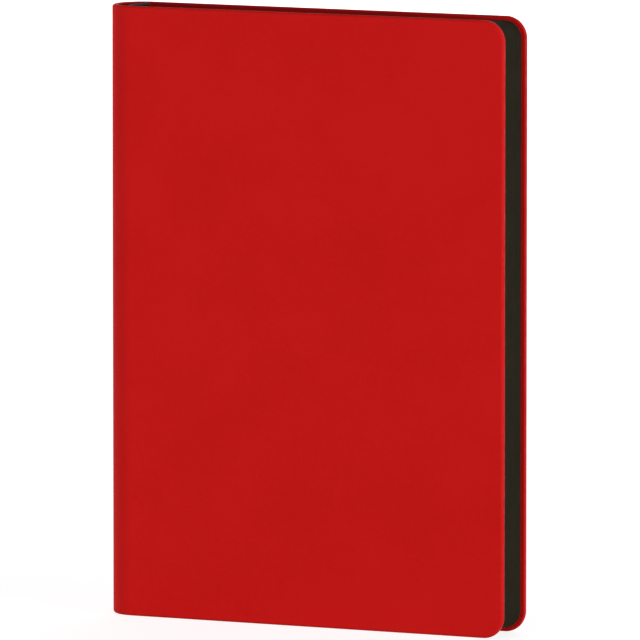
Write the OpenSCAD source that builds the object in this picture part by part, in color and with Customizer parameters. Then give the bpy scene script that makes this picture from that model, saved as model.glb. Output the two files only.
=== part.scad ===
// Undated planner: a round-backed block of sewn leaves in a red wrap-around cover with a round spine.
// It stands on its tail. X runs from the spine to the fore-edge, Y from the front cover to the back, Z up.
// The origin is below the middle of the planner, on the surface that it stands on.

/* [Cover] */
// Width of the closed planner, from the crown of the spine to the fore-edge
cover_w = 150; // [110:1:220]
// Height of the covers, from tail to head
cover_h = 210; // [150:1:300]
// Thickness of the closed planner over both covers
book_t = 20.6; // [18:0.2:36]
// Thickness of each cover and of the spine
cover_t = 2; // [1.6:0.1:2.6]
// Radius of the covers' two outer corners
corner_r = 7.5; // [5:0.5:15]
// Radius of the turned-in edges of the cover
edge_r = 0.6; // [0.3:0.1:0.7]
// Clearance between the spine and each cover along the hinge line
hinge_gap = 0.15; // [0.1:0.05:0.3]

/* [Endpapers] */
// Thickness of the endpaper sheets
endpaper_t = 0.2; // [0.15:0.05:0.4]
// Width of bare cover left round each pastedown
pastedown_margin = 3; // [2:0.5:4]
// Air between a closed cover's pastedown and the flyleaf that faces it
closing_gap = 0.15; // [0.1:0.05:0.5]

/* [Leaves] */
// How far the covers stand past the leaves at head, tail and fore-edge
square_w = 1.5; // [1:0.1:3]
// Number of folded and sewn signatures
signatures = 10; // [6:1:20]
// Rise of the round back, which is also the depth of the hollow fore-edge
rounding = 3; // [1:0.5:4]

/* [Back of the leaves] */
// Thickness of the lining glued over the folds
lining_t = 0.3; // [0.2:0.05:0.6]
// How far the lining stops short of the leaves at head and tail
lining_inset = 8; // [4:1:20]
// Thickness of the headband's woven tape
tape_t = 0.25; // [0.2:0.05:0.5]
// Length of the headband's tape down the back
tape_l = 12; // [6:1:20]
// How far the headband's bead stays inside the edge of the cover
bead_inset = 0.2; // [0.1:0.1:0.5]
// Film of glue between the layers on the back
glue_t = 0.05; // [0.02:0.01:0.1]

/* [Hidden] */
$fn = 96;

cover_red = [0.72, 0.09, 0.08];
stained_black = [0.16, 0.14, 0.12];
paper_ivory = [0.93, 0.90, 0.82];
lining_cloth = [0.86, 0.83, 0.75];
band_black = [0.12, 0.11, 0.10];

// The spine is half a tube, so its radius is half of the book's thickness.
spine_r = book_t / 2;
spine_inner_r = spine_r - cover_t;
hinge_x = spine_r - cover_w / 2;
fore_x = cover_w / 2;

// The leaves fill what the covers, the endpapers and the air between them leave free.
block_t = 2 * (spine_inner_r - 2 * endpaper_t - closing_gap);
block_fore_x = fore_x - square_w;
block_low_z = square_w;
block_high_z = cover_h - square_w;
block_corner_r = corner_r - square_w;
signature_t = block_t / signatures;
fold_r = signature_t / 2;

// Rounding the back shifts the leaves along one arc, which shows at the folds and again at the fore-edge.
arc_r = (pow(block_t / 2, 2) + pow(rounding, 2)) / (2 * rounding);
back_arc_x = hinge_x - rounding + arc_r;
fore_arc_x = block_fore_x - rounding + arc_r;
back_half_angle = asin((block_t / 2 - fold_r) / arc_r);

// The lining and the headbands lie on the back's arc, one over the other.
lining_r = arc_r + glue_t;
tape_r = lining_r + lining_t + glue_t;
bead_d = square_w - bead_inset;

// Section of a plate with one edge turned in: straight from x = 0, round over its last edge_r before x = w.
module rim_section(w) {
    square([w - edge_r, cover_t]);
    translate([0, edge_r]) square([w, cover_t - 2 * edge_r]);
    for (y = [edge_r, cover_t - edge_r])
        translate([w - edge_r, y]) circle(edge_r);
}

// Section through the cover's wall from tail to head, with both edges turned in.
module wall_section() {
    translate([0, cover_h / 2]) {
        rotate([0, 0, 90]) mirror([0, 1]) rim_section(cover_h / 2);
        mirror([0, 1]) rotate([0, 0, 90]) mirror([0, 1]) rim_section(cover_h / 2);
    }
}

// One cover panel from the hinge line to the fore-edge, between y = 0 and y = cover_t.
module panel() {
    panel_x = hinge_x + hinge_gap;
    rim_x = fore_x - corner_r;
    translate([panel_x, 0, 0])
        rotate([90, 0, 90])
            linear_extrude(rim_x - panel_x) wall_section();
    translate([rim_x, 0, corner_r])
        linear_extrude(cover_h - 2 * corner_r) rim_section(corner_r);
    translate([rim_x, 0, corner_r])
        rotate([-90, 0, 0])
            rotate_extrude(angle = 90) rim_section(corner_r);
    translate([rim_x, 0, cover_h - corner_r])
        rotate([-90, -90, 0])
            rotate_extrude(angle = 90) rim_section(corner_r);
}

module front_cover() {
    color(cover_red)
        translate([0, -spine_r, 0]) panel();
}

module back_cover() {
    color(cover_red)
        translate([0, spine_inner_r, 0]) panel();
}

// The round spine: the cover's own wall, taken half a turn from one hinge line to the other.
module spine_cover() {
    color(cover_red)
        translate([hinge_x, 0, 0])
            rotate([0, 0, 90])
                rotate_extrude(angle = 180)
                    translate([spine_inner_r, 0]) wall_section();
}

// A sheet of endpaper from y = front on, cut square at the spine and round at the fore-edge corners.
module endpaper(front, left, right, low, high, r) {
    color(paper_ivory)
        translate([0, front + endpaper_t, 0])
            rotate([90, 0, 0])
                linear_extrude(endpaper_t) {
                    translate([left, low]) square([right - r - left, high - low]);
                    translate([left, low + r]) square([right - left, high - low - 2 * r]);
                    for (z = [low + r, high - r])
                        translate([right - r, z]) circle(r);
                }
}

// The half of an endpaper that is glued inside a cover.
module pastedown(front) {
    endpaper(front, hinge_x + hinge_gap, fore_x - pastedown_margin,
             pastedown_margin, cover_h - pastedown_margin, corner_r - pastedown_margin);
}

// The free half of an endpaper, tipped onto the first or the last leaf.
module flyleaf(front) {
    endpaper(front, hinge_x, block_fore_x, block_low_z, block_high_z, block_corner_r);
}

module front_pastedown() pastedown(-spine_inner_r);

module back_pastedown() pastedown(spine_inner_r - endpaper_t);

module front_flyleaf() flyleaf(-block_t / 2 - endpaper_t);

module back_flyleaf() flyleaf(block_t / 2);

// Where signature i lies in the thickness, and how far back its shift puts the centre of its fold.
function signature_y(i) = (i + 0.5) * signature_t - block_t / 2;
function fold_x(i) = back_arc_x - sqrt(pow(arc_r - fold_r, 2) - pow(signature_y(i), 2));

// The signatures seen from the head, each with a round fold at the back, and uncut at the fore-edge.
module signatures_section() {
    for (i = [0 : signatures - 1])
        translate([fold_x(i), signature_y(i)]) {
            circle(fold_r);
            translate([0, -fold_r]) square([fore_x - fold_x(i), signature_t]);
        }
}

// The trim: a ring round the fore-edge's arc, whose inner wall cuts the hollow fore-edge and its corners.
module trim_ring() {
    r = block_corner_r;
    height = block_high_z - block_low_z;
    reach = 2 * cover_w;
    translate([fore_arc_x, 0, block_low_z])
        rotate_extrude() {
            translate([arc_r + r, 0]) square([reach, height]);
            translate([arc_r, r]) square([reach, height - 2 * r]);
            for (z = [r, height - r])
                translate([arc_r + r, z]) circle(r);
        }
}

module page_block() {
    color(stained_black)
        intersection() {
            linear_extrude(cover_h) signatures_section();
            trim_ring();
        }
}

// Turns a section about the axis of the round back, over the arc that the folds take up.
module along_back() {
    translate([back_arc_x, 0, 0])
        rotate([0, 0, 180 - back_half_angle])
            rotate_extrude(angle = 2 * back_half_angle) children();
}

module spine_lining() {
    color(lining_cloth)
        along_back()
            translate([lining_r, block_low_z + lining_inset])
                square([lining_t, block_high_z - block_low_z - 2 * lining_inset]);
}

// A headband for the end of the leaves at z = 0: a round bead on the end, with its tape hanging below.
module headband_on_end() {
    color(band_black)
        along_back() {
            translate([tape_r, bead_d / 2]) circle(bead_d / 2);
            translate([tape_r, -tape_l]) square([tape_t, tape_l + bead_d / 2]);
        }
}

module headband() {
    translate([0, 0, block_high_z]) headband_on_end();
}

module tailband() {
    translate([0, 0, block_low_z])
        mirror([0, 0, 1]) headband_on_end();
}

front_cover();
spine_cover();
back_cover();
front_pastedown();
back_pastedown();
front_flyleaf();
back_flyleaf();
page_block();
spine_lining();
headband();
tailband();
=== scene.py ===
import math
import random

import bmesh
import bpy
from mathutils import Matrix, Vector


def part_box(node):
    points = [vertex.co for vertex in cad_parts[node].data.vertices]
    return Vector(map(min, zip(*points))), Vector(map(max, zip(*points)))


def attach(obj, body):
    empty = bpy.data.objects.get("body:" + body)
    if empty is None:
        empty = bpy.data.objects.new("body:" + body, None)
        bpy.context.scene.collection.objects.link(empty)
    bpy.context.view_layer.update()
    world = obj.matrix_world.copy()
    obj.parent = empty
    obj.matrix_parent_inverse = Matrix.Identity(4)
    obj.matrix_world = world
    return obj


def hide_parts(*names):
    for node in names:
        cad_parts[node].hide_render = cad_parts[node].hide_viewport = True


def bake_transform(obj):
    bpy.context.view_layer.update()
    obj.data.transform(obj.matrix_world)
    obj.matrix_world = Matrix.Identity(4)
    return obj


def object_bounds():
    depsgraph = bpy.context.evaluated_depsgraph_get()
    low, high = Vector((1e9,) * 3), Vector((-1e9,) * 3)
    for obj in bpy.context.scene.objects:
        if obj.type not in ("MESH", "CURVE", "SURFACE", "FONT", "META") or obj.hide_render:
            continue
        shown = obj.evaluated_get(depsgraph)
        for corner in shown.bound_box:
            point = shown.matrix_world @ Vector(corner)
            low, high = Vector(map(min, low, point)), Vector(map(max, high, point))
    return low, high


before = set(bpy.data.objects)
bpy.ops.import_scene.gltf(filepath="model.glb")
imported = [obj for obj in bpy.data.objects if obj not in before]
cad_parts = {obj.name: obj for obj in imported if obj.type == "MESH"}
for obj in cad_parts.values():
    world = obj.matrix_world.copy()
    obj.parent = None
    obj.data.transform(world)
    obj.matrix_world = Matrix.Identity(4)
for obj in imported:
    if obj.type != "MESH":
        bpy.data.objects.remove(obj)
CAD_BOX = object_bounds()

MM = 0.001

# Sizes read from the frame
SPINE_LOW, SPINE_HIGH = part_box("spine_cover")
COVER_LOW, COVER_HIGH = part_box("front_cover")
PASTE_LOW, PASTE_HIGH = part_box("front_pastedown")
LEAF_LOW, LEAF_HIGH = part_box("front_flyleaf")
BLOCK_LOW, BLOCK_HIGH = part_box("page_block")
BAND_LOW, BAND_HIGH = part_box("headband")

HEIGHT = SPINE_HIGH.z
SPINE_R = SPINE_HIGH.y
HINGE_X = SPINE_LOW.x + SPINE_R
FORE_X = COVER_HIGH.x
COVER_T = COVER_HIGH.y - COVER_LOW.y
PAPER_T = PASTE_HIGH.y - PASTE_LOW.y
SQUARE = BLOCK_LOW.z

# Sizes that the frame's boxes don't give
CORNER_R = 7.5 * MM
ROUNDING = 3 * MM
SIGNATURES = 10
TAPE_T = 0.25 * MM

# The cover's finish: the padded outer rim is rounder than the turned-in inner rim
OUTER_RIM_R = 1.0 * MM
INNER_RIM_R = 0.6 * MM
RIM_ZONE = 2 * MM
SWELL = 0.012 * MM

# The leather by the hinge: a flat strip that stays with the spine, then a finely stepped zone beyond it
FLAT_BY_HINGE = 0.5 * MM
FOLD_ZONE = 4.5 * MM
FOLD_START_X = HINGE_X + FLAT_BY_HINGE
FOLD_END_X = FOLD_START_X + FOLD_ZONE

# How far the leather is turned in, and the step where it ends under the paper
TURN_IN = 15 * MM
TURN_IN_STEP = 0.08 * MM
TURN_IN_RUN = 0.9 * MM

# The pleats of the turned-in leather round a corner. They start at a depth below the outer face,
# rise over a run of depth, and reach onto the inner face.
PLEATS = 7
PLEAT_RISE = 0.16 * MM
PLEAT_START = 1.6 * MM
PLEAT_RUN = 0.4 * MM
PLEAT_REACH = 1.5 * MM

# Where the rims are polished smoother and painted a lighter red as a highlight: how wide, from where and
# how fast towards the fore-edge, and the share of it that head and tail get elsewhere
POLISH_HIGHLIGHT_WIDTH = 1.3 * MM
POLISH_HIGHLIGHT_START = 12 * MM
POLISH_HIGHLIGHT_RUN = 10 * MM
POLISH_HIGHLIGHT_ELSEWHERE = 0.15

# How far the edge stain bleeds onto the flat of an endpaper, and down the folds from head and tail
STAIN_BLEED = 0.12 * MM
FOLD_STAIN = 2.5 * MM

# The leaves in their bundles. A groove takes its share of a bundle on either side.
BUNDLES = 8
GROOVE = 0.05 * MM
SIGNATURE_GROOVE = 0.10 * MM
GROOVE_SHARE = 0.22
OUTER_LEAF_ROUND = 0.03 * MM
UNEVEN = 0.02 * MM
LEAF_SEED = 7

# The headband: turns of thread round its bead, how deep they lie, and the ribs of its tape
WRAPS = 30
WRAP_GROOVE = 0.1
WARP_DEPTH = 0.03 * MM
WEFT_DEPTH = 0.02 * MM

# Fineness of the meshes, as numbers of steps
OUTER_RIM_STEPS = 9
INNER_RIM_STEPS = 6
FOLD_STEPS = 24
FACE_STEPS = 34
SIDE_STEPS = 48
PLEAT_STEPS = 8
SPINE_STEPS = 96
SPINE_SIDE_STEPS = 50
SHEET_STEPS = 54
SHEET_CORNER_STEPS = 14
PAPER_FOLD_STEPS = 8
FLYLEAF_STEPS = 36
LEAF_END_STEPS = 12
LEAF_CORNER_STEPS = 10
LEAF_FORE_STEPS = 16
LEAF_BACK_STEPS = 4
WRAP_STEPS = 8
BEAD_STEPS = 18
TAPE_STEPS_DOWN = 40
TAPE_STEPS_ACROSS = 96

# Camera. Azimuth 0 faces the front cover, and azimuth 90 the fore-edge.
CAMERA_AZIMUTH = 24.8
CAMERA_ELEVATION = 6.5
CAMERA_DISTANCE = 4.0
FRAME_PIXELS = 640
PIXELS_PER_METRE = 2935
# Where the middle of the planner's box falls in the picture, in pixels right of and above its middle
PICTURE_SHIFT = (-5.9, 2.3)
SENSOR_MM = 36
FAR_CLIP = 50

# Stage: the surround's brightness at the horizon and overhead, and the floor's lift to white
SURROUND_LEVEL = 0.24
OVERHEAD_LEVEL = 0.10
# The surround dims between these sines of the height above the horizon
DIM_FROM = 0.1
DIM_TO = 0.8
FLOOR_HALF = 20
FLOOR_LIFT = 0.84


def clamp01(t):
    return max(0.0, min(1.0, t))


def smooth(t):
    t = clamp01(t)
    return t * t * (3 - 2 * t)


def spread(start, end, count):
    """count + 1 values from start to end, evenly spaced."""
    return [start + (end - start) * i / count for i in range(count + 1)]


def direction(azimuth, elevation):
    """The way from the planner to something seen at that azimuth and elevation."""
    a = math.radians(azimuth)
    e = math.radians(elevation)
    return Vector((math.sin(a) * math.cos(e), -math.cos(a) * math.cos(e), math.sin(e)))


# Camera

def make_camera():
    data = bpy.data.cameras.new("camera")
    data.sensor_width = SENSOR_MM
    data.lens = PIXELS_PER_METRE * SENSOR_MM * CAMERA_DISTANCE / FRAME_PIXELS
    data.clip_end = FAR_CLIP
    camera = bpy.data.objects.new("camera", data)
    bpy.context.scene.collection.objects.link(camera)
    back = direction(CAMERA_AZIMUTH, CAMERA_ELEVATION)
    turn = (-back).to_track_quat("-Z", "Y")
    across = turn @ Vector((1, 0, 0))
    up = turn @ Vector((0, 1, 0))
    corners = [Vector((x, y, z)) for x in (CAD_BOX[0].x, CAD_BOX[1].x)
               for y in (CAD_BOX[0].y, CAD_BOX[1].y) for z in (CAD_BOX[0].z, CAD_BOX[1].z)]
    middle = Vector((0, 0, 0))
    for axis in (across, up, back):
        reach = [corner @ axis for corner in corners]
        middle += axis * (min(reach) + max(reach)) / 2
    middle -= (across * PICTURE_SHIFT[0] + up * PICTURE_SHIFT[1]) / PIXELS_PER_METRE
    camera.location = middle + back * CAMERA_DISTANCE
    camera.rotation_mode = "QUATERNION"
    camera.rotation_quaternion = turn
    bpy.context.scene.camera = camera


# Mesh helpers

SAME_POINT = 1e-7


def make_object(name, verts, faces, materials, face_materials=None, sharp=40):
    """A smooth-shaded mesh object from its points and faces, with doubled points joined.
    Edges that turn more than sharp degrees stay sharp."""
    mesh = bpy.data.meshes.new(name)
    mesh.from_pydata(verts, [], faces)
    for material in materials:
        mesh.materials.append(material)
    if face_materials:
        mesh.polygons.foreach_set("material_index", face_materials)
    shape = bmesh.new()
    shape.from_mesh(mesh)
    bmesh.ops.remove_doubles(shape, verts=shape.verts, dist=SAME_POINT)
    bmesh.ops.dissolve_degenerate(shape, edges=shape.edges, dist=SAME_POINT)
    bmesh.ops.recalc_face_normals(shape, faces=shape.faces)
    for face in shape.faces:
        face.smooth = True
    shape.to_mesh(mesh)
    shape.free()
    mesh.set_sharp_from_angle(angle=math.radians(sharp))
    piece = bpy.data.objects.new(name, mesh)
    bpy.context.scene.collection.objects.link(piece)
    return piece


def grid_faces(rows, closed=False):
    """Quads between neighbouring rows of point numbers; closed joins each row's end to its start."""
    faces = []
    for near, far in zip(rows, rows[1:]):
        last = len(near) if closed else len(near) - 1
        for i in range(last):
            j = (i + 1) % len(near)
            faces.append((near[i], near[j], far[j], far[i]))
    return faces


def wall_faces(top, back):
    """The four walls that join the edges of two grids of the same size."""
    faces = grid_faces([top[0], back[0]]) + grid_faces([top[-1], back[-1]])
    faces += grid_faces([[row[0] for row in top], [row[0] for row in back]])
    faces += grid_faces([[row[-1] for row in top], [row[-1] for row in back]])
    return faces


def add_rows(verts, rows):
    """Adds rows of points to verts and returns the rows of their numbers."""
    numbers = []
    for row in rows:
        numbers.append(list(range(len(verts), len(verts) + len(row))))
        verts.extend(row)
    return numbers


# Node helpers

class Finish:
    """A material under construction, with short calls for the nodes that the finishes share."""

    def __init__(self, name):
        self.material = bpy.data.materials.new(name)
        self.material.use_nodes = True
        self.tree = self.material.node_tree
        self.shader = self.tree.nodes["Principled BSDF"]
        self.place = self.node("ShaderNodeTexCoord").outputs["Object"]

    def node(self, kind, **settings):
        made = self.tree.nodes.new(kind)
        for key, value in settings.items():
            setattr(made, key, value)
        return made

    def put(self, socket, value):
        """Sets a socket to a number or colour, or links another node's output to it."""
        if isinstance(value, bpy.types.NodeSocket):
            self.tree.links.new(value, socket)
        else:
            socket.default_value = value

    def set(self, **values):
        """Sets the shader's own sockets; an underscore stands for a space."""
        for key, value in values.items():
            self.put(self.shader.inputs[key.replace("_", " ")], value)

    def stretched(self, scale):
        mapping = self.node("ShaderNodeMapping")
        self.put(mapping.inputs["Vector"], self.place)
        self.put(mapping.inputs["Scale"], scale)
        return mapping.outputs["Vector"]

    def noise(self, cell, detail=2.0, roughness=0.5, place=None):
        made = self.node("ShaderNodeTexNoise")
        self.put(made.inputs["Vector"], place or self.place)
        self.put(made.inputs["Scale"], 1 / cell)
        self.put(made.inputs["Detail"], detail)
        self.put(made.inputs["Roughness"], roughness)
        return made.outputs["Fac"]

    def cells(self, cell):
        made = self.node("ShaderNodeTexVoronoi", feature="SMOOTH_F1")
        self.put(made.inputs["Vector"], self.place)
        self.put(made.inputs["Scale"], 1 / cell)
        return made.outputs["Distance"]

    def waves(self, pitch, axis, distortion):
        """Bands across an axis. A wave texture of scale 1 repeats every pi / 10."""
        made = self.node("ShaderNodeTexWave", bands_direction=axis)
        self.put(made.inputs["Vector"], self.place)
        self.put(made.inputs["Scale"], math.pi / 10 / pitch)
        self.put(made.inputs["Distortion"], distortion)
        return made.outputs["Fac"]

    def math(self, operation, a, b):
        made = self.node("ShaderNodeMath", operation=operation)
        self.put(made.inputs[0], a)
        self.put(made.inputs[1], b)
        return made.outputs[0]

    def map(self, value, low, high, to_low, to_high):
        made = self.node("ShaderNodeMapRange")
        for key, number in (("Value", value), ("From Min", low), ("From Max", high),
                            ("To Min", to_low), ("To Max", to_high)):
            self.put(made.inputs[key], number)
        return made.outputs["Result"]

    def mix(self, factor, a, b):
        made = self.node("ShaderNodeMix", data_type="RGBA")
        self.put(made.inputs["Factor"], factor)
        self.put(made.inputs[6], (*a, 1) if isinstance(a, tuple) else a)
        self.put(made.inputs[7], (*b, 1) if isinstance(b, tuple) else b)
        return made.outputs[2]

    def weighted(self, a, b, share):
        """That share of a and the rest of b."""
        return self.math("ADD", self.math("MULTIPLY", a, share), self.math("MULTIPLY", b, 1 - share))

    def between(self, value, low, high, tones):
        """The first tone where the value is low, the second where it is high."""
        return self.mix(self.map(value, low, high, 0, 1), *tones)

    def attribute(self, name):
        return self.node("ShaderNodeAttribute", attribute_name=name).outputs["Fac"]

    def bump(self, height, distance, strength, normal=None):
        made = self.node("ShaderNodeBump")
        self.put(made.inputs["Height"], height)
        self.put(made.inputs["Distance"], distance)
        self.put(made.inputs["Strength"], strength)
        if normal:
            self.put(made.inputs["Normal"], normal)
        return made.outputs["Normal"]


# Materials, with colours in linear light as (darker, lighter) tones

LEATHER_TONES = ((0.52, 0.0068, 0.0060), (0.55, 0.0084, 0.0075))
# The lighter red painted on the rims as a highlight, strongest by the fore-edge
PAINTED_HIGHLIGHT_RED = (0.59, 0.008, 0.008)
STAIN_TONES = ((0.0150, 0.0129, 0.0076), (0.0250, 0.0212, 0.0126))
PAPER_TONES = ((0.77, 0.71, 0.585), (0.83, 0.78, 0.665))
BARE_MULL = (0.70, 0.65, 0.52)
GLUED_MULL = (0.62, 0.53, 0.36)
MULL_GAP = (0.40, 0.34, 0.24)
COTTON_TONES = ((0.010, 0.0095, 0.009), (0.022, 0.020, 0.018))
FLOOR_TONES = ((0.44, 0.44, 0.44), (0.46, 0.46, 0.46))
WHITE = (1, 1, 1, 1)


def cover_material():
    """Smooth soft-touch artificial leather: a fine pebble grain, faint mottling, and rims polished
    smoother and painted a lighter red as a highlight.
    """
    f = Finish("cover_leather")
    mottle = f.noise(30 * MM, detail=4, roughness=0.6)
    speck = f.noise(1.1 * MM, detail=2)
    red = f.between(f.weighted(mottle, speck, 0.7), 0.35, 0.65, LEATHER_TONES)
    polish_and_painted_highlight = f.math("MULTIPLY", f.attribute("rim_polish_and_highlight"), f.map(f.noise(2.5 * MM, 3), 0.35, 0.7, 0.2, 1))
    # Painted highlight: the rims are painted a lighter red, most by the fore-edge; the lower roughness
    # below is real polish
    f.set(Base_Color=f.mix(polish_and_painted_highlight, red, PAINTED_HIGHLIGHT_RED))
    matt = f.map(f.noise(0.8 * MM, 3), 0.3, 0.7, 0.64, 0.73)
    f.set(Roughness=f.math("SUBTRACT", matt, f.math("MULTIPLY", polish_and_painted_highlight, 0.32)))
    f.set(Specular_IOR_Level=0.13)
    pebble = f.cells(0.42 * MM)
    pores = f.noise(0.13 * MM, 2)
    grain = f.bump(pebble, 0.035 * MM, 0.6)
    f.set(Normal=f.bump(pores, 0.012 * MM, 0.5, grain))
    return f.material


def edge_material():
    """Sheet edges stained black, with the fine lines of the single leaves."""
    f = Finish("stained_edges")
    lines = f.noise(0.11 * MM, 2, place=f.stretched((0.02, 1, 0.02)))
    patch = f.noise(9 * MM, 4)
    f.set(Base_Color=f.between(f.weighted(lines, patch, 0.6), 0.35, 0.65, STAIN_TONES))
    f.set(Roughness=f.map(patch, 0.3, 0.7, 0.62, 0.78), Specular_IOR_Level=0.05)
    f.set(Normal=f.bump(lines, 0.02 * MM, 0.7))
    return f.material


def paper_material():
    """Uncoated ivory paper with a soft fibre texture."""
    f = Finish("ivory_paper")
    cloud = f.noise(3.5 * MM, 5, 0.65)
    fibre = f.noise(0.35 * MM, 3, place=f.stretched((1, 1, 0.35)))
    f.set(Base_Color=f.between(f.weighted(cloud, fibre, 0.5), 0.35, 0.65, PAPER_TONES))
    f.set(Roughness=f.map(fibre, 0.3, 0.7, 0.78, 0.9), Specular_IOR_Level=0.2)
    f.set(Normal=f.bump(fibre, 0.015 * MM, 0.6))
    return f.material


def mull_material():
    """Open cotton mull stiffened with glue, woven up and across the back."""
    f = Finish("mull")
    up = f.waves(0.8 * MM, "Z", 0.4)
    across = f.waves(0.8 * MM, "Y", 0.4)
    weave = f.math("MAXIMUM", up, across)
    glue = f.noise(6 * MM, 4)
    thread = f.between(glue, 0.35, 0.65, (BARE_MULL, GLUED_MULL))
    f.set(Base_Color=f.between(weave, 0.4, 0.7, (MULL_GAP, thread)))
    f.set(Roughness=f.map(glue, 0.3, 0.7, 0.55, 0.85), Specular_IOR_Level=0.3)
    f.set(Normal=f.bump(weave, 0.1 * MM, 0.8))
    return f.material


def thread_material():
    """Black cotton thread, with lint and a soft sheen."""
    f = Finish("black_cotton")
    lint = f.noise(0.08 * MM, 3)
    twist = f.noise(0.5 * MM, 3)
    f.set(Base_Color=f.between(twist, 0.3, 0.7, COTTON_TONES))
    f.set(Roughness=f.map(lint, 0.3, 0.7, 0.6, 0.8), Specular_IOR_Level=0.3)
    f.set(Sheen_Weight=0.04, Sheen_Roughness=0.5)
    f.set(Normal=f.bump(lint, 0.02 * MM, 0.6))
    return f.material


# Cover

def face_wave(x, z):
    """How far the padded boards and their paper lie off true, fading out to the hinge and the edges.
    It is the sum of two swells, whose factors of x and z are radians for each metre."""
    inside = min(FORE_X - x, z, HEIGHT - z) - RIM_ZONE
    fade = smooth(inside / (12 * MM)) * smooth((x - HINGE_X - FOLD_ZONE) / (15 * MM))
    swell = math.sin(41 * x + 1.1) * math.sin(33 * z + 0.4) + 0.6 * math.sin(73 * x - 52 * z + 2.0)
    return SWELL * fade * swell


def rim_profile():
    """(inset from the cover's outline, depth below its outer face), from the outer rim to the inner."""
    outer = [(OUTER_RIM_R * (1 - math.sin(a)), OUTER_RIM_R * (1 - math.cos(a)))
             for a in spread(0, math.pi / 2, OUTER_RIM_STEPS)]
    inner = [(INNER_RIM_R * (1 - math.cos(a)), COVER_T - INNER_RIM_R * (1 - math.sin(a)))
             for a in spread(0, math.pi / 2, INNER_RIM_STEPS)]
    return outer + inner


def hinge_columns(start, end):
    """Places across a cover or pastedown: close together in the zone by the hinge, then wider apart."""
    return spread(start, FOLD_END_X, FOLD_STEPS)[:-1] + spread(FOLD_END_X, end, FACE_STEPS)


def panel_piece(name, side, material):
    """One cover: side is -1 for the front and 1 for the back."""
    corner_x = FORE_X - CORNER_R
    columns = hinge_columns(FOLD_START_X, corner_x)
    rows = spread(CORNER_R, HEIGHT - CORNER_R, SIDE_STEPS)
    arc = spread(0, math.pi / 2, PLEAT_STEPS * PLEATS)

    def outline(inset):
        """Points (x, z, share round a corner), that far inside tail, fore-edge and head."""
        r = CORNER_R - inset
        points = [(x, inset, 0) for x in columns]
        points += [(corner_x + r * math.sin(a), CORNER_R - r * math.cos(a), 2 * a / math.pi)
                   for a in arc[1:]]
        points += [(FORE_X - inset, z, 0) for z in rows[1:-1]]
        points += [(corner_x + r * math.cos(a), HEIGHT - CORNER_R + r * math.sin(a), 2 * a / math.pi)
                   for a in arc]
        points += [(x, HEIGHT - inset, 0) for x in reversed(columns[:-1])]
        return points

    face_insets = [CORNER_R, 5.5 * MM, 4 * MM, 3 * MM, 2.2 * MM, 1.5 * MM]
    rings = [(inset, 0.0) for inset in face_insets] + rim_profile()
    rings += [(inset, COVER_T) for inset in [1.0 * MM] + face_insets[::-1]]

    def point(x, z, depth, inset, corner):
        crease = smooth(1 - 2 * abs(math.cos(math.pi * PLEATS * corner)))
        inside = smooth((depth - PLEAT_START) / PLEAT_RUN)
        gather = PLEAT_RISE * crease * inside * (1 - smooth((inset - PLEAT_REACH) / PLEAT_REACH))
        return (x, side * (SPINE_R - depth + gather) + face_wave(x, z), z)

    verts = []
    ring_rows = add_rows(verts, [[point(x, z, depth, inset, corner) for x, z, corner in outline(inset)]
                                 for inset, depth in rings])
    faces = grid_faces(ring_rows)
    for depth in (0.0, COVER_T):
        core = add_rows(verts, [[point(x, z, depth, CORNER_R, 0) for z in rows] for x in columns])
        faces += grid_faces(core)
        if depth == 0.0:
            outer_end = core[0]
        else:
            faces += grid_faces([outer_end, core[0]])
    faces.append([row[0] for row in ring_rows])
    faces.append([row[-1] for row in ring_rows])
    piece = make_object(name, verts, faces, [material])
    paint_rim_polish_and_highlight(piece)
    return piece


def spine_piece(name, material):
    """The round spine, with a short flat strip on each side that meets the covers."""
    path = [(HINGE_X + x, -SPINE_R, 0.0, -1.0) for x in spread(FLAT_BY_HINGE, 0, 2)[:-1]]
    path += [(HINGE_X - SPINE_R * math.sin(a), -SPINE_R * math.cos(a), -math.sin(a), -math.cos(a))
             for a in spread(0, math.pi, SPINE_STEPS)]
    path += [(HINGE_X + x, SPINE_R, 0.0, 1.0) for x in spread(0, FLAT_BY_HINGE, 2)[1:]]
    rows = spread(RIM_ZONE, HEIGHT - RIM_ZONE, SPINE_SIDE_STEPS)
    rim = rim_profile()
    section = [(z, 0.0) for z in reversed(rows)] + rim
    section += [(z, COVER_T) for z in rows] + [(HEIGHT - inset, depth) for inset, depth in reversed(rim)]
    verts = []
    numbers = add_rows(verts, [[(x - nx * depth, y - ny * depth, z) for z, depth in section]
                               for x, y, nx, ny in path])
    faces = grid_faces(numbers, closed=True)
    faces += [numbers[0], numbers[-1]]
    piece = make_object(name, verts, faces, [material])
    paint_rim_polish_and_highlight(piece)
    return piece


def paint_rim_polish_and_highlight(piece):
    """Stores how far each point is polished smoother and painted with a lighter red highlight: the turned
    edge, most by the fore-edge.
    """
    layer = piece.data.attributes.new("rim_polish_and_highlight", "FLOAT", "POINT")
    values = []
    for vertex in piece.data.vertices:
        x, y, z = vertex.co
        edge = min(FORE_X - x, z, HEIGHT - z)
        beyond_x = max(0.0, x - (FORE_X - CORNER_R))
        beyond_z = max(0.0, max(CORNER_R - z, z - HEIGHT + CORNER_R))
        if beyond_x and beyond_z:
            edge = CORNER_R - math.hypot(beyond_x, beyond_z)
        # The fore-edge gets most of the painted highlight and of the polish
        fore_edge_share = smooth((x - FORE_X + POLISH_HIGHLIGHT_START) / POLISH_HIGHLIGHT_RUN)
        polish_highlight_share = POLISH_HIGHLIGHT_ELSEWHERE + (1 - POLISH_HIGHLIGHT_ELSEWHERE) * fore_edge_share
        values.append(polish_highlight_share * (1 - smooth(edge / POLISH_HIGHLIGHT_WIDTH)))
    layer.data.foreach_set("value", values)


# Endpapers

# The stained rim of a sheet is wider where a corner's arc leans, and this bounds how much.
LEAST_UPRIGHT = 0.05


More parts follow.
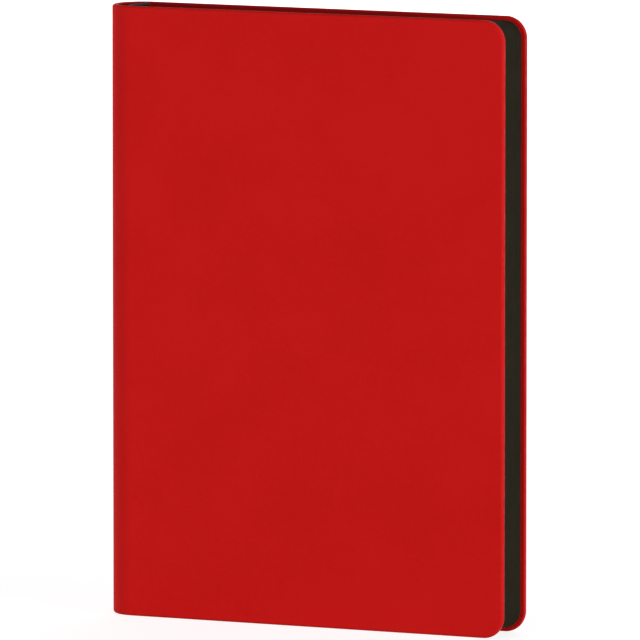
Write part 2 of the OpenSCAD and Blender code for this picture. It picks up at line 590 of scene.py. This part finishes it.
def sheet_piece(name, path, low, high, corner_x, corner_r, materials, stained=False):
    """A sheet of paper along a path of (x, y, normal x, normal y), with round outer corners.
    It reaches from low to high, and the path lies on its face, with its thickness below the normal."""
    verts = []
    top_rows = []
    back_rows = []
    for x, y, nx, ny in path:
        over = clamp01((x - corner_x) / corner_r)
        upright = math.sqrt(1 - over * over)
        cut = corner_r * (1 - upright)
        rim = STAIN_BLEED / max(upright, LEAST_UPRIGHT)
        span = [low + cut] + spread(low + cut + rim, high - cut - rim, SHEET_STEPS) + [high - cut]
        lift = [face_wave(x, z) for z in span]
        top_rows.append([(x, y + w, z) for z, w in zip(span, lift)])
        back_rows.append([(x - nx * PAPER_T, y - ny * PAPER_T + w, z) for z, w in zip(span, lift)])
    top = add_rows(verts, top_rows)
    back = add_rows(verts, back_rows)
    faces = grid_faces(top) + grid_faces(back)
    across = len(top[0]) - 1
    strips = len(path) - 1
    kinds = [int(stained and (i % across in (0, across - 1) or i // across % strips >= strips - 2))
             for i in range(len(faces))]
    faces += wall_faces(top, back)
    kinds += [int(stained)] * (len(faces) - len(kinds))
    return make_object(name, verts, faces, materials, kinds)


def corner_columns(corner_x, corner_r):
    return [corner_x + corner_r * math.sin(a) for a in spread(0, math.pi / 2, SHEET_CORNER_STEPS)]


def turn_in_step(x, z):
    """How far the pasted paper sinks where the turned-in leather under it ends."""
    edge = min(FORE_X - x, z, HEIGHT - z)
    return TURN_IN_STEP * smooth((edge - TURN_IN) / TURN_IN_RUN)


def pastedown_piece(name, side, material):
    """The pasted half of an endpaper, with the fold that joins it to the free half."""
    leaf_mid = -(LEAF_LOW.y + LEAF_HIGH.y) / 2
    paste_mid = -(PASTE_LOW.y + PASTE_HIGH.y) / 2
    fold_y = (leaf_mid + paste_mid) / 2
    inner_r = (paste_mid - leaf_mid) / 2 - PAPER_T / 2
    corner_r = CORNER_R - PASTE_LOW.z
    corner_x = PASTE_HIGH.x - corner_r
    margin = 1 * MM
    step_start = FORE_X - TURN_IN - margin
    step_end = FORE_X - TURN_IN + margin
    columns = hinge_columns(HINGE_X, step_start)
    columns += spread(step_start, step_end, 6)[1:]
    columns += spread(step_end, corner_x, 3)[1:-1]
    columns += corner_columns(corner_x, corner_r)
    path = [(HINGE_X - inner_r * math.sin(a), side * (fold_y - inner_r * math.cos(a)),
             math.sin(a), side * math.cos(a)) for a in spread(0, math.pi, PAPER_FOLD_STEPS)[:-1]]
    path += [(x, side * (fold_y + inner_r), 0.0, -side) for x in columns]
    piece = sheet_piece(name, path, PASTE_LOW.z, PASTE_HIGH.z, corner_x, corner_r, [material])
    for vertex in piece.data.vertices:
        x, y, z = vertex.co
        if x > HINGE_X and abs(y) < fold_y + inner_r + 0.5 * PAPER_T:
            vertex.co.y += side * turn_in_step(x, z)
    return piece


def flyleaf_piece(name, side, paper, stain):
    """The free half of an endpaper, its three trimmed edges stained with those of the leaves."""
    corner_r = CORNER_R - SQUARE
    corner_x = LEAF_HIGH.x - corner_r
    columns = spread(HINGE_X, corner_x, FLYLEAF_STEPS)[:-1] + corner_columns(corner_x, corner_r)
    path = [(x, -side * LEAF_LOW.y, 0.0, side) for x in columns]
    return sheet_piece(name, path, LEAF_LOW.z, LEAF_HIGH.z, corner_x, corner_r, [paper, stain],
                       stained=True)


# Leaves

BLOCK_HALF = BLOCK_HIGH.y
ARC_R = (BLOCK_HALF ** 2 + ROUNDING ** 2) / (2 * ROUNDING)
FOLD_R = BLOCK_HALF / SIGNATURES
BACK_ARC_X = HINGE_X - ROUNDING + ARC_R
FORE_ARC_X = BLOCK_HIGH.x - ROUNDING + ARC_R


def block_piece(name, stain, paper):
    """The sewn leaves: round folds at the back, a hollow fore-edge, and grooves between bundles."""
    chance = random.Random(LEAF_SEED)
    pitch = 2 * FOLD_R / BUNDLES
    corner_r = CORNER_R - SQUARE
    low, high = BLOCK_LOW.z, BLOCK_HIGH.z

    def fold_back(y):
        signature = min(SIGNATURES - 1, int((y + BLOCK_HALF) / (2 * FOLD_R)))
        middle = (2 * signature + 1) * FOLD_R - BLOCK_HALF
        centre = BACK_ARC_X - math.sqrt((ARC_R - FOLD_R) ** 2 - middle ** 2)
        return centre - math.sqrt(max(0.0, FOLD_R ** 2 - (y - middle) ** 2))

    def outline(y, inset, shift):
        back = fold_back(y)
        fore = FORE_ARC_X - math.sqrt(ARC_R ** 2 - y ** 2) - inset + shift
        r = corner_r - inset
        near = low + inset - shift / 2
        far = high - inset + shift / 2
        points = [(x, y, near) for x in spread(back, fore - r, LEAF_END_STEPS)]
        points += [(fore - r + r * math.sin(a), y, near + r - r * math.cos(a))
                   for a in spread(0, math.pi / 2, LEAF_CORNER_STEPS)[1:]]
        points += [(fore, y, z) for z in spread(near + r, far - r, LEAF_FORE_STEPS)[1:]]
        points += [(fore - r + r * math.cos(a), y, far - r + r * math.sin(a))
                   for a in spread(0, math.pi / 2, LEAF_CORNER_STEPS)[1:]]
        points += [(x, y, far) for x in spread(fore - r, back, LEAF_END_STEPS)[1:]]
        points += [(back, y, z) for z in spread(far - FOLD_STAIN, near + FOLD_STAIN, LEAF_BACK_STEPS)]
        return points

    layers = [(-BLOCK_HALF, OUTER_LEAF_ROUND, 0.0)]
    for i in range(SIGNATURES * BUNDLES):
        y = -BLOCK_HALF + i * pitch
        groove = SIGNATURE_GROOVE if i % BUNDLES == BUNDLES - 1 else GROOVE
        shift = -abs(chance.gauss(0, UNEVEN))
        layers.append((y + GROOVE_SHARE * pitch, 0.0, shift))
        layers.append((y + (1 - GROOVE_SHARE) * pitch, 0.0, shift))
        layers.append((y + pitch, groove, 0.0))
    layers[-1] = (BLOCK_HALF, OUTER_LEAF_ROUND, 0.0)
    verts = []
    rows = add_rows(verts, [outline(*layer) for layer in layers])
    faces = grid_faces(rows, closed=True)
    across = len(rows[0])
    bare = range(across - 1 - LEAF_BACK_STEPS, across - 1)
    kinds = [int(i % across in bare) for i in range(len(faces))]
    faces += [rows[0], rows[-1]]
    kinds += [1, 1]
    return make_object(name, verts, faces, [stain, paper], kinds, sharp=60)


# Headbands

def band_piece(name, up, material):
    """A bead wrapped with thread over the end of the back, on a ribbed tape glued down the back."""
    end = BLOCK_HIGH.z if up else BLOCK_LOW.z
    way = 1 if up else -1
    bead_r = (BAND_HIGH.z - BLOCK_HIGH.z) / 2
    tape_z = BAND_LOW.z - BLOCK_HIGH.z
    reach = BACK_ARC_X - BAND_LOW.x - bead_r
    half = math.asin((BLOCK_HALF - FOLD_R) / ARC_R)
    lean = 0.5 * half / WRAPS
    verts = []

    def at(angle, r, z):
        return (BACK_ARC_X - r * math.cos(angle), r * math.sin(angle), z)

    bead_z = end + way * bead_r
    bead_rows = []
    for i, angle in enumerate(spread(-half, half, WRAPS * WRAP_STEPS)):
        ridge = abs(math.sin(math.pi * i / WRAP_STEPS))
        r = bead_r * (1 - WRAP_GROOVE + WRAP_GROOVE * ridge)
        bead_rows.append([at(angle + lean * math.sin(b), reach + r * math.cos(b), bead_z + r * math.sin(b))
                          for b in spread(0, 2 * math.pi, BEAD_STEPS)[:-1]])
    numbers = add_rows(verts, bead_rows)
    faces = grid_faces(numbers, closed=True) + [numbers[0], numbers[-1]]
    heights = spread(end + way * tape_z, bead_z, TAPE_STEPS_DOWN)
    outer = []
    inner = []
    for i, angle in enumerate(spread(-half, half, TAPE_STEPS_ACROSS)):
        face_r = reach + TAPE_T - WARP_DEPTH * (i % 2)
        outer.append([at(angle, face_r - WEFT_DEPTH * (j % 2), z) for j, z in enumerate(heights)])
        inner.append([at(angle, reach, z) for z in heights])
    front = add_rows(verts, outer)
    back = add_rows(verts, inner)
    faces += grid_faces(front) + grid_faces(back) + wall_faces(front, back)
    return make_object(name, verts, faces, [material], sharp=50)


# Stage

def area_light(name, azimuth, elevation, distance, width, height, level, mirrored=True):
    """A soft lamp that gives a white surface facing it that level of brightness.
    One that isn't mirrored lights the planner without a gleam of its own."""
    data = bpy.data.lights.new(name, "AREA")
    data.shape = "RECTANGLE"
    data.size = width
    data.size_y = height
    data.energy = level * (math.pi * distance) ** 2
    lamp = bpy.data.objects.new(name, data)
    back = direction(azimuth, elevation)
    lamp.location = Vector((0, 0, HEIGHT / 2)) + back * distance
    lamp.rotation_mode = "QUATERNION"
    lamp.rotation_quaternion = (-back).to_track_quat("-Z", "Y")
    lamp.visible_camera = False
    lamp.visible_glossy = mirrored
    bpy.context.scene.collection.objects.link(lamp)


def shown_to_camera(tree):
    """1 where a ray shows the background straight, in a reflection or through glass, else 0."""
    path = tree.nodes.new("ShaderNodeLightPath")
    result = path.outputs["Is Camera Ray"]
    for other in ("Is Glossy Ray", "Is Transmission Ray"):
        larger = tree.nodes.new("ShaderNodeMath")
        larger.operation = "MAXIMUM"
        tree.links.new(result, larger.inputs[0])
        tree.links.new(path.outputs[other], larger.inputs[1])
        result = larger.outputs[0]
    return result


def make_world():
    """A pale surround, dimmer overhead, that the camera and reflections show as white."""
    world = bpy.data.worlds.new("studio")
    bpy.context.scene.world = world
    world.use_nodes = True
    tree = world.node_tree
    light = tree.nodes["Background"]
    light.inputs["Color"].default_value = WHITE
    way = tree.nodes.new("ShaderNodeTexCoord")
    split = tree.nodes.new("ShaderNodeSeparateXYZ")
    fall = tree.nodes.new("ShaderNodeMapRange")
    fall.inputs["From Min"].default_value = DIM_FROM
    fall.inputs["From Max"].default_value = DIM_TO
    fall.inputs["To Min"].default_value = SURROUND_LEVEL
    fall.inputs["To Max"].default_value = OVERHEAD_LEVEL
    tree.links.new(way.outputs["Generated"], split.inputs[0])
    tree.links.new(split.outputs["Z"], fall.inputs["Value"])
    tree.links.new(fall.outputs["Result"], light.inputs["Strength"])
    white = tree.nodes.new("ShaderNodeBackground")
    white.inputs["Strength"].default_value = 1
    white.inputs["Color"].default_value = WHITE
    mix = tree.nodes.new("ShaderNodeMixShader")
    tree.links.new(shown_to_camera(tree), mix.inputs[0])
    tree.links.new(light.outputs[0], mix.inputs[1])
    tree.links.new(white.outputs[0], mix.inputs[2])
    tree.links.new(mix.outputs[0], tree.nodes["World Output"].inputs["Surface"])


def make_floor():
    """A wide pale floor, lifted to white where the camera sees it, so that only the shadow shows."""
    mesh = bpy.data.meshes.new("floor")
    corners = [(x * FLOOR_HALF, y * FLOOR_HALF, 0) for x, y in ((-1, -1), (1, -1), (1, 1), (-1, 1))]
    mesh.from_pydata(corners, [], [(0, 1, 2, 3)])
    f = Finish("floor_white")
    mottle = f.noise(0.8, 3)
    f.set(Base_Color=f.mix(mottle, *FLOOR_TONES))
    f.set(Roughness=0.9, Specular_IOR_Level=0.0, Emission_Color=WHITE)
    f.set(Emission_Strength=f.math("MULTIPLY", shown_to_camera(f.tree), FLOOR_LIFT))
    mesh.materials.append(f.material)
    floor = bpy.data.objects.new("floor", mesh)
    bpy.context.scene.collection.objects.link(floor)


# Build

make_camera()
make_world()
make_floor()

# The key lamp is two in one place, so that only a part of its light gleams on the leather
key = {"azimuth": 70, "elevation": 3, "distance": 2.2, "width": 0.9, "height": 0.5}
area_light("key_right", **key, level=0.60, mirrored=False)
area_light("key_gleam", **key, level=0.28)
area_light("fill_front", azimuth=-36, elevation=1.2, distance=2.2, width=3.6, height=0.3,
           level=0.775, mirrored=False)
area_light("fill_back", azimuth=195, elevation=12, distance=3.0, width=2.4, height=2.4,
           level=0.75, mirrored=False)

leather = cover_material()
stain = edge_material()
paper = paper_material()
mull = mull_material()
cotton = thread_material()

for body, side in (("front", -1), ("back", 1)):
    panel = panel_piece(body + "_cover_leather", side, leather)
    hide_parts(body + "_cover")
    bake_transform(panel)

    pastedown = pastedown_piece(body + "_pastedown_paper", side, paper)
    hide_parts(body + "_pastedown")
    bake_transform(pastedown)

    flyleaf = flyleaf_piece(body + "_flyleaf_paper", side, paper, stain)
    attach(flyleaf, "book")
    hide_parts(body + "_flyleaf")

spine = spine_piece("spine_leather", leather)
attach(spine, "book")
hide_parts("spine_cover")

block = block_piece("leaves", stain, paper)
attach(block, "book")
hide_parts("page_block")

for node, up in (("headband", True), ("tailband", False)):
    band = band_piece(node + "_thread", up, cotton)
    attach(band, "book")
    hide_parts(node)

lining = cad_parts["spine_lining"]
lining.data.materials.clear()
lining.data.materials.append(mull)

bpy.context.scene.view_settings.view_transform = "Standard"
